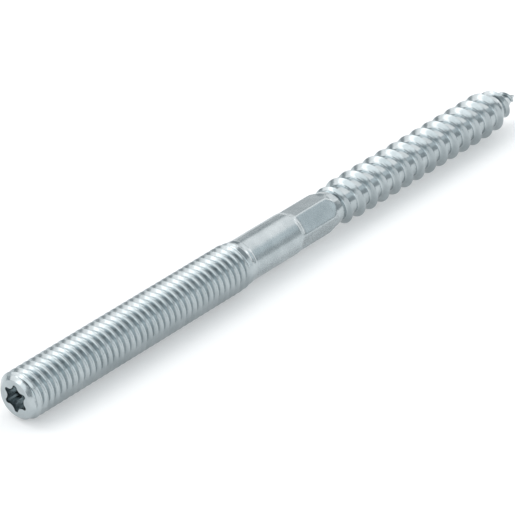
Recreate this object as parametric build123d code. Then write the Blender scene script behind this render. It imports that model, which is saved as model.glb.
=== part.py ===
from build123d import *
import math
import os

os.makedirs("parts", exist_ok=True)

# A hanger bolt: one steel rod with a machine thread and a driver socket at one end, a plain shank and
# a hexagon for a wrench in the middle, and a wood thread with a gimlet point at the other end.
# The axis lies along X, the socket end at -X and the point at +X, and the bolt lies on the floor z = 0.
# Angles go round X from +Y towards +Z. All lengths in mm, all angles in degrees.

# Lengths along the bolt
bolt_length = 120.0           # overall, socket face to point
machine_thread_length = 50.0  # from the socket face, chamfer and run-out included
wood_thread_length = 50.0     # from the neck behind the hexagon to the point
hexagon_length = 9.5          # wrench flats with their run-outs, ends at the neck
thread_chamfer_length = 1.15  # lead-in chamfer at the socket face
thread_runout_length = 0.6    # step from the machine thread down to the shank
hexagon_entry_length = 1.2    # ramp from the shank down to a flat
hexagon_exit_length = 0.4     # ramp from a flat up to the neck
shoulder_length = 1.5         # round shoulder that takes the hexagon's corners down to the neck
wood_root_length = 3.0        # taper from the neck down to the wood thread's root
core_point_length = 6.5       # taper of the root to the point
crest_point_length = 8.5      # taper of the crest to the point

# Diameters
machine_thread_d = 7.9        # major diameter of the rolled M8 thread
socket_face_d = 5.9           # flat ring round the socket
shank_d = 7.05                # plain shank
hexagon_across_flats = 6.0
neck_d = 6.2                  # neck between the hexagon and the wood thread
wood_thread_d = 7.4           # crest of the wood thread
wood_root_d = 5.4             # root of the wood thread
point_d = 0.2                 # blunted tip of the point

# Wood thread
wood_pitch = 3.03
flank_angle = 30.0            # each flank, from a plane square to the axis
thread_start_angle = 259.0    # where the ridge rises out of the neck
thread_start_gap = 0.6        # from the neck to the start of the ridge
thread_fade_turns = 1.5       # turns in which the ridge reaches its full height
thread_stop_gap = 0.8         # from the end of the ridge to the tip of the point
crest_curve = 1.6             # 1 makes the crest's taper a straight cone, more makes it bulge
guide_points_per_turn = 24

# Hexagon and driver socket
hexagon_angle = 18.2          # direction of one flat
socket_angle = 28.4           # direction of one lobe
socket_lobe_d = 4.5           # across the lobes, hexalobular recess size 25
socket_tooth_d = 3.25         # across the teeth between the lobes
socket_lobe_r = 0.38
socket_depth = 3.3            # straight walls
socket_cone_depth = 0.6       # cone below them

# Positions that follow from the lengths
x_face = -bolt_length / 2
x_point = bolt_length / 2
x_machine_end = x_face + machine_thread_length
x_neck = x_point - wood_thread_length
x_hexagon = x_neck - hexagon_length


def root_radius(x):
    """Radius of the wood thread's root at x, from the neck to the point."""
    into_neck = min(max((x - x_neck) / wood_root_length, 0.0), 1.0)
    full = neck_d / 2 + (wood_root_d - neck_d) / 2 * into_neck
    to_tip = min(max((x_point - x) / core_point_length, 0.0), 1.0)
    return point_d / 2 + (full - point_d / 2) * to_tip


def crest_radius(x, x_start):
    """Radius of the wood thread's crest at x, rising from the root and tapering to the point."""
    low = 0.96 * root_radius(x_start)
    rise = min((x - x_start) / (thread_fade_turns * wood_pitch), 1.0)
    full = low + (wood_thread_d / 2 - low) * (1 - (1 - rise) ** 2)
    to_tip = min(max((x_point - x) / crest_point_length, 0.0), 1.0)
    return full * (1 - (1 - to_tip) ** crest_curve)


def around(x, radius, angle):
    """Point at x, at a radius from the axis and an angle round it."""
    turn = math.radians(angle)
    return Vector(x, radius * math.cos(turn), radius * math.sin(turn))


def rod():
    """Everything turned: threads' cylinders, chamfer, shank, shoulder, neck and point."""
    shoulder = TangentArc(
        (x_neck - shoulder_length, shank_d / 2), (x_neck, neck_d / 2), tangent=(1, 0)
    )
    outline = Polyline(
        shoulder @ 1,
        (x_neck + wood_root_length, wood_root_d / 2),
        (x_point - core_point_length, wood_root_d / 2),
        (x_point, point_d / 2),
        (x_point, 0),
        (x_face, 0),
        (x_face, socket_face_d / 2),
        (x_face + thread_chamfer_length, machine_thread_d / 2),
        (x_machine_end - thread_runout_length, machine_thread_d / 2),
        (x_machine_end, shank_d / 2),
        shoulder @ 0,
    )
    return revolve(make_face([shoulder, outline]), Axis.X)


def flat_cutter(angle):
    """Block that takes one wrench flat off the shank, with a ramp at each end."""
    flat = hexagon_across_flats / 2
    deep = shank_d / 2 - flat
    entry = hexagon_entry_length / deep
    leave = hexagon_exit_length / deep
    outer = 2 * deep
    outline = [
        (x_hexagon + hexagon_entry_length, flat),
        (x_neck - hexagon_exit_length, flat),
        (x_neck - hexagon_exit_length + leave * outer, flat + outer),
        (x_hexagon + hexagon_entry_length - entry * outer, flat + outer),
    ]
    block = extrude(make_face(Polyline(*outline, close=True)), shank_d, both=True)
    return block.rotate(Axis.X, angle)


def socket():
    """Six-lobe socket with a shallow cone below its straight walls."""
    tooth_angle = 30.0
    lobe_c = socket_lobe_d / 2 - socket_lobe_r
    tooth_in = socket_tooth_d / 2
    half = math.cos(math.radians(tooth_angle))
    # The tooth arc is tangent to the lobe arcs on both its sides, which fixes its radius.
    tooth_r = (lobe_c**2 + tooth_in**2 - 2 * lobe_c * tooth_in * half - socket_lobe_r**2) / (
        2 * (socket_lobe_r - tooth_in + lobe_c * half)
    )
    tooth_c = tooth_in + tooth_r
    arcs = []
    for turn in range(6):
        at = socket_angle + 60 * turn
        lobe = around(x_face, lobe_c, at)
        before = around(x_face, tooth_c, at - tooth_angle)
        after = around(x_face, tooth_c, at + tooth_angle)
        start = lobe + (before - lobe).normalized() * socket_lobe_r
        end = lobe + (after - lobe).normalized() * socket_lobe_r
        arcs.append(ThreePointArc(start, around(x_face, socket_lobe_d / 2, at), end))
        beyond = around(x_face, lobe_c, at + 2 * tooth_angle)
        stop = beyond + (after - beyond).normalized() * socket_lobe_r
        arcs.append(ThreePointArc(end, around(x_face, tooth_in, at + tooth_angle), stop))
    walls = extrude(Face(Wire(arcs)), socket_depth, dir=(1, 0, 0))
    x_floor = x_face + socket_depth
    cone = [(x_floor, 0), (x_floor, tooth_in), (x_floor + socket_cone_depth, 0)]
    return walls + revolve(make_face(Polyline(*cone, close=True)), Axis.X)


def wood_thread():
    """Right-hand helical ridge on the root, rising from the neck and running out near the point.

    Its section is a triangle with its foot sunk into the root, and its faces are split at each turn.
    """
    x_start = x_neck + thread_start_gap
    x_stop = x_point - thread_stop_gap
    count = math.ceil((x_stop - x_start) / wood_pitch * guide_points_per_turn)
    slope = math.tan(math.radians(flank_angle))
    guides = [[], [], []]
    for step in range(count + 1):
        x = x_start + (x_stop - x_start) * step / count
        angle = thread_start_angle + 360 * (x - x_start) / wood_pitch
        crest = crest_radius(x, x_start)
        foot = 0.9 * root_radius(x)
        wide = (crest - foot) * slope
        for guide, (along, radius) in zip(guides, ((-wide, foot), (0, crest), (wide, foot))):
            guide.append(around(x + along, radius, angle))
    faces = []
    turns = max(round(count / guide_points_per_turn), 1)
    ends = [round(count * turn / turns) for turn in range(turns + 1)]
    for first, last in zip(ends, ends[1:]):
        curves = [Spline(*guide[first : last + 1]) for guide in guides]
        faces += [Face.make_surface_from_curves(curves[k - 1], curves[k]) for k in range(3)]
    for end in (0, -1):
        faces.append(Face(Wire.make_polygon([guide[end] for guide in guides], close=True)))
    return Solid(Shell(faces))


bolt = rod()
for turn in range(6):
    bolt = bolt - flat_cutter(hexagon_angle + 60 * turn)
bolt = bolt - socket()
bolt = bolt + wood_thread()
bolt = bolt.solid().moved(Location((0, 0, machine_thread_d / 2)))
bolt.label = "hanger_bolt"
export_step(bolt, "parts/hanger_bolt.step")
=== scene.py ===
import math

import bpy
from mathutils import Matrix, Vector


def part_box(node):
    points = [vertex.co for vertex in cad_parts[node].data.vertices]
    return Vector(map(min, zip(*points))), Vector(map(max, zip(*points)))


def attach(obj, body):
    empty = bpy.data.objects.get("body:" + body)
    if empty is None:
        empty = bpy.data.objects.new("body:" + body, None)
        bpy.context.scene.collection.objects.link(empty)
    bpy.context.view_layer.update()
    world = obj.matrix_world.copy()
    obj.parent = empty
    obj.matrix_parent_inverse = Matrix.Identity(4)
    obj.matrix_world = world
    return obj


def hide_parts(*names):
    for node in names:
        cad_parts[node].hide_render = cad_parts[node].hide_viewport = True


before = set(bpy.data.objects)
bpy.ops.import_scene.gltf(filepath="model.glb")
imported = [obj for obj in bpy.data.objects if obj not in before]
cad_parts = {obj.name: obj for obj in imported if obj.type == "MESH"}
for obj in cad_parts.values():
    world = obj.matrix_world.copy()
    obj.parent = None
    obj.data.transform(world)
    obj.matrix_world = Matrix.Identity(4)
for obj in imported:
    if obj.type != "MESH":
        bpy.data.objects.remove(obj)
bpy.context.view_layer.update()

# A zinc-plated hanger bolt. Its axis lies along X, the socket end at -X and the point at +X.
# Lengths below are millimetres along the bolt from the socket face, angles go round X from +Y to +Z.
MM = 0.001
LOW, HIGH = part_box("hanger_bolt")
LENGTH = (HIGH[0] - LOW[0]) / MM
AXIS_Y = (LOW[1] + HIGH[1]) / 2
AXIS_Z = (LOW[2] + HIGH[2]) / 2

# Machine thread, rolled, with the major radius just inside the CAD cylinder
MACHINE_R = min(HIGH[1] - LOW[1], HIGH[2] - LOW[2]) / 2 / MM - 0.001
MACHINE_END = 50.0
MACHINE_PITCH = 1.25
CREST_ROUND, ROOT_ROUND = 0.12, 0.26
MACHINE_GROOVE = 0.965        # a groove centre at GROOVE_ANGLE
GROOVE_ANGLE = 226.7
THREAD_IN = (0.2, 1.0)        # where the machine thread deepens behind the socket face
THREAD_OUT = (47.0, 49.7)     # where it grows shallow before the shank
RUNOUT_HEIGHT = 0.10          # what is left of it over the shank
RUNOUT_START = 49.72          # the small step down to the shank
FACE_R = 2.95
CHAMFER_LENGTH = 1.0
CHAMFER_CURVE = 1.35          # 1 makes a straight cone, more makes it bulge

# Shank, hexagon, shoulder
SHANK_R = 3.525
HEX_FLAT, HEX_CORNER = 3.0, 3.41
HEX_ANGLE = 18.2
HEX_START, HEX_FULL = 60.5, 62.0
SHOULDER_START, NECK = 68.35, 70.0
SHOULDER_R = HEX_FLAT * 1.17
SHOULDER_CURVE = 1.2
NECK_RISE = (NECK - 0.9, NECK + 0.1)

# Wood thread and point
WOOD_PITCH = 3.03
WOOD_CREST_AT = 70.33         # a crest at GROOVE_ANGLE
WOOD_R = 3.69
WOOD_CREST_HALF = 0.055       # half the width of the flat on the crest
WOOD_FLANK_SLOPE = 1.86       # mm down for each mm along the bolt
NECK_R, ROOT_R = 3.08, 2.70
POINT_R = 0.06
CORE_POINT, CREST_POINT = 6.5, 8.5
CREST_START_R, CREST_RISE = 2.9, 6.5
RIDGE_AFTER_NECK, RIDGE_BEFORE_TIP = 0.35, 0.5
CREST_FILLET, ROOT_FILLET = 0.06, 0.22
TIP_END = 0.25                # the thread's last row, before the tip

# Six-lobe socket
LOBE_ANGLE = 28.4
LOBE_R, LOBE_OUT, TOOTH_IN = 0.38, 2.25, 1.625
SOCKET_DEPTH, SOCKET_CONE = 3.3, 0.6

COLUMNS = 120
FIRST_COLUMN = 0.2            # the hexagon's ridges fall on columns
SLOPE_60 = 1.732              # flank of a 60 degree thread: mm down for each mm along
FLANK_START = 0.866           # share of a round's radius at which the flank leaves it
SHARPEST = math.radians(42)   # edges sharper than this stay sharp in the shading


def smooth(a, b, x):
    """0 below a, 1 above b, and an even ease between them."""
    t = min(max((x - a) / (b - a), 0.0), 1.0)
    return t * t * (3 - 2 * t)


def blend(a, b, t):
    return a + (b - a) * t


def soft_max(a, b, k):
    """The larger of two heights, with a fillet of about k where they meet."""
    h = max(k - abs(a - b), 0.0) / k
    return max(a, b) + h * h * k * 0.25


def soft_min(a, b, k):
    return -soft_max(-a, -b, k)


def column_angle(i):
    return FIRST_COLUMN + 360.0 * i / COLUMNS


def machine_phase(angle, s):
    """Pitches from the groove centre, so whole numbers are grooves and halves are crests."""
    return (s - MACHINE_GROOVE) / MACHINE_PITCH - (angle - GROOVE_ANGLE) / 360.0


def wood_phase(angle, s):
    """Pitches from the crest, so whole numbers are crests."""
    return (s - WOOD_CREST_AT) / WOOD_PITCH - (angle - GROOVE_ANGLE) / 360.0


def machine_radius(angle, s):
    phase = machine_phase(angle, s)
    from_groove = abs(phase - round(phase)) * MACHINE_PITCH
    from_crest = MACHINE_PITCH / 2 - from_groove
    # Rounded crest, straight flank, rounded root
    if from_crest < FLANK_START * CREST_ROUND:
        drop = CREST_ROUND - math.sqrt(CREST_ROUND**2 - from_crest**2)
    else:
        drop = 0.5 * CREST_ROUND + SLOPE_60 * (from_crest - FLANK_START * CREST_ROUND)
    depth = 0.5 * (CREST_ROUND + ROOT_ROUND)
    depth += SLOPE_60 * (MACHINE_PITCH / 2 - FLANK_START * (CREST_ROUND + ROOT_ROUND))
    if from_groove < FLANK_START * ROOT_ROUND:
        drop = depth - ROOT_ROUND + math.sqrt(ROOT_ROUND**2 - from_groove**2)
    thread = MACHINE_R - drop
    # The thread fades at both ends, and a small step leads down to the shank.
    thread = blend(MACHINE_R, thread, smooth(*THREAD_IN, s))
    thread = blend(thread, SHANK_R + RUNOUT_HEIGHT, smooth(*THREAD_OUT, s))
    thread = blend(thread, SHANK_R, smooth(RUNOUT_START, MACHINE_END, s))
    # Rounded lead-in chamfer at the socket face
    across = min(max(s / CHAMFER_LENGTH, 0.0), 1.0)
    chamfer = FACE_R + (MACHINE_R - FACE_R) * (1 - (1 - across) ** CHAMFER_CURVE)
    if s < CHAMFER_LENGTH * 1.6:
        return soft_min(thread, chamfer + 0.0001, 0.05)
    return thread


def hexagon_radius(angle):
    off = (angle - HEX_ANGLE + 30.0) % 60.0 - 30.0
    return min(HEX_FLAT / math.cos(math.radians(off)), HEX_CORNER)


def core_radius(s):
    """Root of the wood thread, from the neck to the point."""
    full = blend(NECK_R, ROOT_R, smooth(NECK - 0.2, NECK + 3.0, s))
    to_tip = min(max((LENGTH - s) / CORE_POINT, 0.0), 1.0)
    return POINT_R + (full - POINT_R) * to_tip ** 0.95


def crest_radius(s):
    """Crest of the wood thread: it rises out of the neck and falls to the point."""
    risen = min(max((s - NECK) / CREST_RISE, 0.0), 1.0)
    to_tip = min(max((LENGTH - s) / CREST_POINT, 0.0), 1.0)
    return (WOOD_R - (WOOD_R - CREST_START_R) * (1 - risen) ** 2.5) * (1 - (1 - to_tip) ** 1.6)


def middle_radius(angle, s):
    """Shank, hexagon and the shoulder down to the neck."""
    hexagon = min(hexagon_radius(angle), SHANK_R)
    body = blend(SHANK_R, hexagon, smooth(HEX_START, HEX_FULL, s))
    # The corners of the hexagon end in a rounded shoulder.
    down = (s - SHOULDER_START) / (NECK - SHOULDER_START)
    shoulder = SHOULDER_R - (SHOULDER_R - NECK_R) * max(down, 0.0) ** SHOULDER_CURVE
    # The flats rise to the neck.
    if body < NECK_R:
        body = blend(body, NECK_R, smooth(*NECK_RISE, s))
    if s > SHOULDER_START:
        return soft_min(body, max(shoulder, NECK_R), 0.03)
    return body


def wood_radius(angle, s):
    phase = wood_phase(angle, s)
    from_crest = abs(phase - round(phase)) * WOOD_PITCH
    crest_s = s - (phase - round(phase)) * WOOD_PITCH
    core = core_radius(s)
    if crest_s < NECK + RIDGE_AFTER_NECK or crest_s > LENGTH - RIDGE_BEFORE_TIP:
        return core
    crest = crest_radius(crest_s)
    flank = crest - WOOD_FLANK_SLOPE * max(from_crest - WOOD_CREST_HALF, 0.0)
    return soft_max(core, soft_min(crest, flank, CREST_FILLET), ROOT_FILLET)


def place(angle, s, r):
    turn = math.radians(angle)
    return (
        LOW[0] + s * MM,
        AXIS_Y + r * math.cos(turn) * MM,
        AXIS_Z + r * math.sin(turn) * MM,
    )


class Skin:
    """Collects the rows of the closed surface."""

    def __init__(self):
        self.verts = []
        self.faces = []

    def vertex(self, point):
        self.verts.append(point)
        return len(self.verts) - 1

    def ring(self, s, radius):
        """One row of vertices square to the axis."""
        return [
            self.vertex(place(column_angle(i), s, radius(column_angle(i), s)))
            for i in range(COLUMNS)
        ]

    def face(self, *corners):
        kept = []
        for corner in corners:
            if corner not in kept:
                kept.append(corner)
        if len(kept) > 2:
            self.faces.append(kept)

    def join(self, near, far):
        for i in range(COLUMNS):
            j = (i + 1) % COLUMNS
            self.face(near[i], far[i], far[j], near[j])

    def rings(self, last, stations, radius):
        for s in stations:
            row = self.ring(s, radius)
            self.join(last, row)
            last = row
        return last

    def threaded(self, first, s_a, s_b, last, phase, pitch, fractions, radius):
        """Rows that follow the helix between two rings, so that crests and roots are clean lines."""
        count = len(fractions)
        made = {}
        least = 0.012 * pitch

        def corner(i, j):
            if i == COLUMNS:
                i, j = 0, j + count
            if (i, j) in made:
                return made[i, j]
            angle = column_angle(i)
            turn = j // count + fractions[j % count]
            s = s_a + (turn - phase(angle, s_a)) * pitch
            if s <= s_a + least:
                made[i, j] = first[i]
            elif s >= s_b - least:
                made[i, j] = last[i]
            else:
                made[i, j] = self.vertex(place(angle, s, radius(angle, s)))
            return made[i, j]

        low = math.floor(phase(360.0 + FIRST_COLUMN, s_a)) - 2
        high = math.ceil(phase(FIRST_COLUMN, s_b)) + 2
        for j in range(low * count, high * count):
            for i in range(COLUMNS):
                near = (corner(i, j), corner(i, j + 1))
                self.face(*near, corner(i + 1, j + 1), corner(i + 1, j))


def lobe_outline():
    """Points and outward directions of the six-lobe outline, in degrees and mm round the axis."""
    lobe_c = LOBE_OUT - LOBE_R
    half = math.cos(math.radians(30.0))
    tooth_r = (lobe_c**2 + TOOTH_IN**2 - 2 * lobe_c * TOOTH_IN * half - LOBE_R**2) / (
        2 * (LOBE_R - TOOTH_IN + lobe_c * half)
    )
    tooth_c = TOOTH_IN + tooth_r

    def at(radius, angle):
        return Vector((math.cos(math.radians(angle)), math.sin(math.radians(angle)))) * radius

    points = []
    for lobe in range(6):
        angle = LOBE_ANGLE + 60.0 * lobe
        centre = at(lobe_c, angle)
        tooth = at(tooth_c, angle + 30.0)
        toward = (tooth - centre).normalized()
        swing = math.degrees(math.atan2(toward.y, toward.x)) - angle
        swing = (swing + 180.0) % 360.0 - 180.0
        for step in range(-5, 5):
            turn = angle + swing * step / 5
            out = at(1.0, turn)
            points.append((centre + out * LOBE_R, out))
        back = math.degrees(math.atan2(-toward.y, -toward.x))
        middle = angle + 30.0 + 180.0
        spread = (back - middle + 180.0) % 360.0 - 180.0
        for step in range(-5, 5):
            turn = middle - spread * step / 5
            inward = at(1.0, turn)
            points.append((tooth + inward * tooth_r, -inward))
    return points


def socket(skin, rim):
    """End face, socket walls and socket floor, from the face's rim to the closed cone."""
    outline = lobe_outline()
    # The outline's first point is matched with the nearest column of the rim.
    angles = [math.degrees(math.atan2(p.y, p.x)) % 360.0 for p, _ in outline]
    shift = min(
        range(COLUMNS),
        key=lambda k: sum(
            abs((angles[m] - column_angle((m + k) % COLUMNS) + 180.0) % 360.0 - 180.0)
            for m in range(COLUMNS)
        ),
    )

    def outline_ring(s, grow, shrink=1.0):
        row = [None] * COLUMNS
        for m, (point, out) in enumerate(outline):
            spot = (point + out * grow) * shrink
            where = (LOW[0] + s * MM, AXIS_Y + spot.x * MM, AXIS_Z + spot.y * MM)
            row[(m + shift) % COLUMNS] = skin.vertex(where)
        return row

    rows = [outline_ring(0.0, 0.10), outline_ring(0.02, 0.035), outline_ring(0.085, 0.0)]
    # The face itself: three rings between its rim and the socket's mouth
    face_rows = []
    for share in (0.25, 0.55, 0.8):
        row = []
        for i in range(COLUMNS):
            a = Vector(skin.verts[rim[i]])
            b = Vector(skin.verts[rows[0][i]])
            row.append(skin.vertex(a.lerp(b, share)[:]))
        face_rows.append(row)
    chain = [rim, *face_rows, *rows]
    for s in (0.6, 1.3, 2.1, 2.9, SOCKET_DEPTH - 0.05):
        chain.append(outline_ring(s, 0.0))
    chain.append(outline_ring(SOCKET_DEPTH, -0.05))
    for share in (0.66, 0.33):
        chain.append(outline_ring(SOCKET_DEPTH + SOCKET_CONE * (1 - share), 0.0, share))
    for near, far in zip(chain, chain[1:]):
        skin.join(far, near)
    centre = skin.vertex((LOW[0] + (SOCKET_DEPTH + SOCKET_CONE) * MM, AXIS_Y, AXIS_Z))
    last = chain[-1]
    for i in range(COLUMNS):
        skin.face(centre, last[i], last[(i + 1) % COLUMNS])


# Rows of the mesh within one pitch, close together where the surface turns
MACHINE_ROWS = [0.0, 0.09, 0.18, 0.417, 0.45, 0.483, 0.517, 0.55, 0.583, 0.82, 0.91]
WOOD_ROWS = [0.0, 0.016, 0.035, 0.075, 0.13, 0.165, 0.195, 0.225, 0.27, 0.42,
             0.58, 0.73, 0.775, 0.805, 0.835, 0.87, 0.925, 0.965, 0.984]


CHAMFER_ROWS = [0.03, 0.08, 0.14, 0.21, 0.29, 0.37, 0.45]


def bolt_mesh():
    """The whole bolt as one closed surface, from the socket to the tip."""
    skin = Skin()
    rim = skin.ring(0.0, lambda angle, s: FACE_R)
    socket(skin, rim)
    near = skin.rings(rim, CHAMFER_ROWS, machine_radius)
    far = skin.ring(MACHINE_END, machine_radius)
    helix = (machine_phase, MACHINE_PITCH, MACHINE_ROWS, machine_radius)
    skin.threaded(near, CHAMFER_ROWS[-1], MACHINE_END, far, *helix)
    # Shank, hexagon and shoulder
    stations = [50.3, 52, 54, 56, 58, 60, 60.5]
    stations += [60.6 + 0.12 * k for k in range(12)]
    stations += [62.2, 63, 64, 65, 66, 67, 67.7, 68.1]
    stations += [68.25 + 0.125 * k for k in range(14)]
    near = skin.rings(far, stations, middle_radius)
    # Wood thread and tip
    wood_end = LENGTH - TIP_END
    near = skin.rings(near, [NECK], wood_radius)
    far = skin.ring(wood_end, wood_radius)
    helix = (wood_phase, WOOD_PITCH, WOOD_ROWS, wood_radius)
    skin.threaded(near, NECK, wood_end, far, *helix)
    last = skin.rings(far, [LENGTH - 0.1, LENGTH - 0.02], wood_radius)
    tip = skin.vertex(place(0.0, LENGTH, 0.0))
    for i in range(COLUMNS):
        skin.face(last[i], tip, last[(i + 1) % COLUMNS])
    return skin


def shade_by_area(mesh):
    """Shading led by the large faces, so that flats stay straight between their rounded edges."""
    round_corner = [[] for _ in mesh.vertices]
    for face in mesh.polygons:
        for corner in face.vertices:
            round_corner[corner].append(face)
    least_dot = math.cos(SHARPEST)
    normals = []
    for face in mesh.polygons:
        own = face.normal
        for corner in face.vertices:
            total = Vector((0.0, 0.0, 0.0))
            for other in round_corner[corner]:
                if other.normal.dot(own) > least_dot:
                    total += other.normal * other.area
            normals.append(total.normalized() if total.length > 0 else own.copy())
    mesh.normals_split_custom_set(normals)


def add_bolt():
    skin = bolt_mesh()
    mesh = bpy.data.meshes.new("hanger_bolt_visual")
    mesh.from_pydata(skin.verts, [], skin.faces)
    mesh.validate()
    mesh.update()
    bolt = bpy.data.objects.new("hanger_bolt_visual", mesh)
    bpy.context.scene.collection.objects.link(bolt)
    mesh.shade_smooth()
    mesh.set_sharp_from_angle(angle=SHARPEST)
    shade_by_area(mesh)
    return bolt


def node(tree, kind, **values):
    made = tree.nodes.new(kind)
    for key, value in values.items():
        setattr(made, key, value)
    return made


ROUGHNESS = (0.15, 0.22)
DULLER = 0.09                 # added to it on the shank and hexagon
PAPER_GLOW = 0.26


def noise(tree, scale, detail):
    """Noise that lies fixed in the object."""
    place_at = node(tree, "ShaderNodeTexCoord")
    texture = node(tree, "ShaderNodeTexNoise")
    texture.inputs["Scale"].default_value = scale
    texture.inputs["Detail"].default_value = detail
    tree.links.new(place_at.outputs["Object"], texture.inputs["Vector"])
    return texture


def map_range(tree, source, from_range, to_range=(0.0, 1.0)):
    mapped = node(tree, "ShaderNodeMapRange")
    mapped.inputs["From Min"].default_value, mapped.inputs["From Max"].default_value = from_range
    mapped.inputs["To Min"].default_value, mapped.inputs["To Max"].default_value = to_range
    tree.links.new(source, mapped.inputs["Value"])
    return mapped.outputs["Result"]


def zinc():
    """Bright zinc plating: blue-white, finely mottled, a little rougher in patches."""
    material = bpy.data.materials.new("zinc_plated_steel")
    material.use_nodes = True
    tree = material.node_tree
    shader = tree.nodes["Principled BSDF"]
    shader.inputs["Metallic"].default_value = 1.0
    fine = noise(tree, scale=2600.0, detail=4.0)
    broad = noise(tree, scale=420.0, detail=3.0)
    colour = node(tree, "ShaderNodeValToRGB")
    colour.color_ramp.elements[0].position = 0.3
    colour.color_ramp.elements[0].color = (0.39, 0.435, 0.45, 1)
    colour.color_ramp.elements[1].position = 0.7
    colour.color_ramp.elements[1].color = (0.48, 0.525, 0.54, 1)
    tree.links.new(broad.outputs["Fac"], colour.inputs["Fac"])
    tree.links.new(colour.outputs["Color"], shader.inputs["Base Color"])
    rough = map_range(tree, fine.outputs["Fac"], (0.3, 0.7), ROUGHNESS)
    # The drawn shank and hexagon are a little duller than the rolled threads.
    place_at = node(tree, "ShaderNodeTexCoord")
    axis = node(tree, "ShaderNodeSeparateXYZ")
    tree.links.new(place_at.outputs["Object"], axis.inputs["Vector"])
    shank = node(tree, "ShaderNodeMath", operation="MULTIPLY")
    for slot, (start, end) in enumerate(((49.6, 50.2), (70.2, 69.6))):
        edge = (LOW[0] + start * MM, LOW[0] + end * MM)
        tree.links.new(map_range(tree, axis.outputs["X"], edge), shank.inputs[slot])
    dull = node(tree, "ShaderNodeMath", operation="MULTIPLY_ADD")
    dull.inputs[1].default_value = DULLER
    tree.links.new(shank.outputs["Value"], dull.inputs[0])
    tree.links.new(rough, dull.inputs[2])
    tree.links.new(dull.outputs["Value"], shader.inputs["Roughness"])
    bump = node(tree, "ShaderNodeBump")
    bump.inputs["Strength"].default_value = 0.08
    bump.inputs["Distance"].default_value = 0.00004
    tree.links.new(fine.outputs["Fac"], bump.inputs["Height"])
    tree.links.new(bump.outputs["Normal"], shader.inputs["Normal"])
    return material


bolt = add_bolt()
bolt.data.materials.append(zinc())
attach(bolt, "root")
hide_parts("hanger_bolt")


def add_floor():
    mesh = bpy.data.meshes.new("floor")
    side = 60.0
    mesh.from_pydata(
        [(-side, -side, 0), (side, -side, 0), (side, side, 0), (-side, side, 0)], [], [(0, 1, 2, 3)]
    )
    floor = bpy.data.objects.new("floor", mesh)
    bpy.context.scene.collection.objects.link(floor)
    material = bpy.data.materials.new("floor_paper")
    material.use_nodes = True
    tree = material.node_tree
    shader = tree.nodes["Principled BSDF"]
    shader.inputs["Base Color"].default_value = (0.78, 0.78, 0.78, 1)
    shader.inputs["Roughness"].default_value = 0.9
    shader.inputs["Specular IOR Level"].default_value = 0.2
    # The paper is white to the camera and in the metal, and keeps the shadow.
    path = node(tree, "ShaderNodeLightPath")
    seen = node(tree, "ShaderNodeMath", operation="MAXIMUM")
    tree.links.new(path.outputs["Is Camera Ray"], seen.inputs[0])
    tree.links.new(path.outputs["Is Glossy Ray"], seen.inputs[1])
    through = node(tree, "ShaderNodeMath", operation="MAXIMUM")
    tree.links.new(seen.outputs["Value"], through.inputs[0])
    tree.links.new(path.outputs["Is Transmission Ray"], through.inputs[1])
    level = node(tree, "ShaderNodeMath", operation="MULTIPLY")
    level.inputs[1].default_value = PAPER_GLOW
    tree.links.new(through.outputs["Value"], level.inputs[0])
    shader.inputs["Emission Color"].default_value = (1, 1, 1, 1)
    tree.links.new(level.outputs["Value"], shader.inputs["Emission Strength"])
    mesh.materials.append(material)


WARM, NEUTRAL, COOL = (1.0, 0.94, 0.92), (1.0, 1.0, 1.0), (0.88, 0.96, 1.0)


def add_lamps():
    """Soft round lamps round the bolt."""
    # Name, azimuth from +X to +Y, elevation and width in degrees, brightness, tint
    table = [
        # The large lamps above light the crests and the upper side.
        ("key", 8, 43, 52, 1.0, WARM),
        ("overhead", 20, 75, 30, 0.8, COOL),
        ("top", 92, 60, 42, 1.7, NEUTRAL),
        ("back", 132, 37, 55, 1.15, WARM),
        ("front_high", -58, 42, 44, 0.6, COOL),
        # The low lamps reach into the grooves and light the flanks and both ends.
        ("left", 168, 14, 50, 1.15, NEUTRAL),
        ("side", 90, 20, 40, 0.4, NEUTRAL),
        ("side_low", 36, 10, 26, 0.65, WARM),
        ("end", -8, 10, 34, 1.0, WARM),
        ("front", -82, 13, 50, 0.9, NEUTRAL),
        ("front_left", -125, 14, 36, 0.6, NEUTRAL),
    ]
    for name, azimuth, elevation, width, brightness, tint in table:
        a, e = math.radians(azimuth), math.radians(elevation)
        toward = Vector((math.cos(a) * math.cos(e), math.sin(a) * math.cos(e), math.sin(e)))
        light = bpy.data.lights.new(name, "SUN")
        light.angle = math.radians(width)
        light.color = tint
        light.energy = brightness * math.pi * math.sin(light.angle / 2) ** 2
        lamp = bpy.data.objects.new(name, light)
        bpy.context.scene.collection.objects.link(lamp)
        lamp.rotation_mode = "QUATERNION"
        lamp.rotation_quaternion = (-toward).to_track_quat("-Z", "Y")


def add_surroundings():
    """Even, dim, slightly blue surroundings."""
    world = bpy.data.worlds.new("studio")
    world.use_nodes = True
    bpy.context.scene.world = world
    background = world.node_tree.nodes["Background"]
    background.inputs["Color"].default_value = (0.42, 0.46, 0.48, 1)
    background.inputs["Strength"].default_value = 1.0


# Camera: place in metres, direction, and focal length in mm
CAMERA_AT = (-0.34208, -0.28925, 0.27683)
CAMERA_LOOKS = (0.64466, 0.55501, -0.52571)
CAMERA_LENS = 233.97


def add_camera():
    """A long lens that looks down on the socket end."""
    camera = bpy.data.cameras.new("camera")
    camera.sensor_width = 36.0
    camera.lens = CAMERA_LENS
    camera.clip_start, camera.clip_end = 0.05, 20.0
    rig = bpy.data.objects.new("camera", camera)
    bpy.context.scene.collection.objects.link(rig)
    rig.location = CAMERA_AT
    rig.rotation_mode = "QUATERNION"
    rig.rotation_quaternion = Vector(CAMERA_LOOKS).to_track_quat("-Z", "Y")
    bpy.context.scene.camera = rig


add_floor()
add_lamps()
add_surroundings()
add_camera()
bpy.context.scene.view_settings.view_transform = "Standard"
